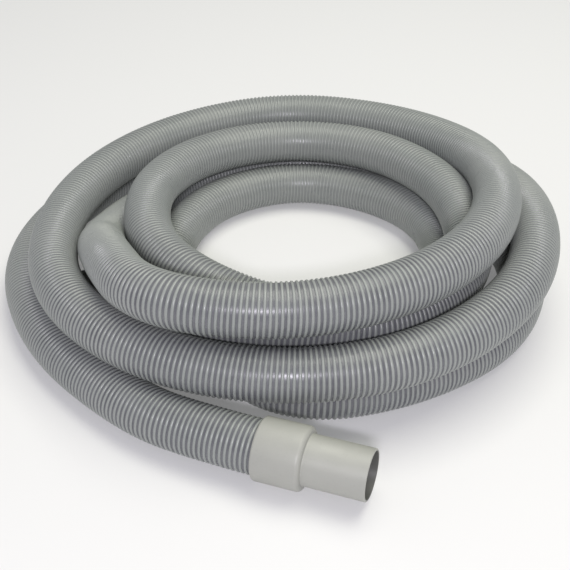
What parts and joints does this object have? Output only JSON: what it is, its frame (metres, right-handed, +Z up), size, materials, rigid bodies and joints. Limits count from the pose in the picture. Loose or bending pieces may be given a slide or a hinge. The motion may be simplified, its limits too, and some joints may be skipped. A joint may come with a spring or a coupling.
{
  "type": "vacuum hose",
  "caption": "Loose coil of grey corrugated vacuum hose with a light grey swivel cuff on one end and a fixed cuff on the other",
  "frame": {"origin": "under the middle of the coil's box, on the surface that it lies on", "axes": "+Z up; +Y away from the visible cuff, towards the back of the coil; +X to the right when the swivel cuff is at the front and points right"},
  "size_m": [0.5607, 0.6175, 0.1407],
  "materials": {
    "hose_vinyl": "semi-gloss, ribbed",
    "cuff_plastic": "satin moulded",
    "ferrule_plastic": "moulded",
    "seal_rubber": "matt"
  },
  "bodies": {
    "hose": {"hose_turn_1": "hose_vinyl", "hose_turn_2": "hose_vinyl", "hose_turn_3": "hose_vinyl", "hose_turn_4": "hose_vinyl", "hose_turn_5": "hose_vinyl", "threaded_ferrule": "ferrule_plastic", "seal_ring": "seal_rubber", "fixed_cuff": "cuff_plastic"},
    "swivel_end": {"swivel_cuff": "cuff_plastic"}
  },
  "joints": [
    {"name": "cuff_swivel", "type": "hinge", "parent": "hose", "child": "swivel_end", "pos_m": [0.01823, -0.26872, 0.0282], "axis": [0.9391, -0.3433, 0.0181], "continuous": true}
  ]
}
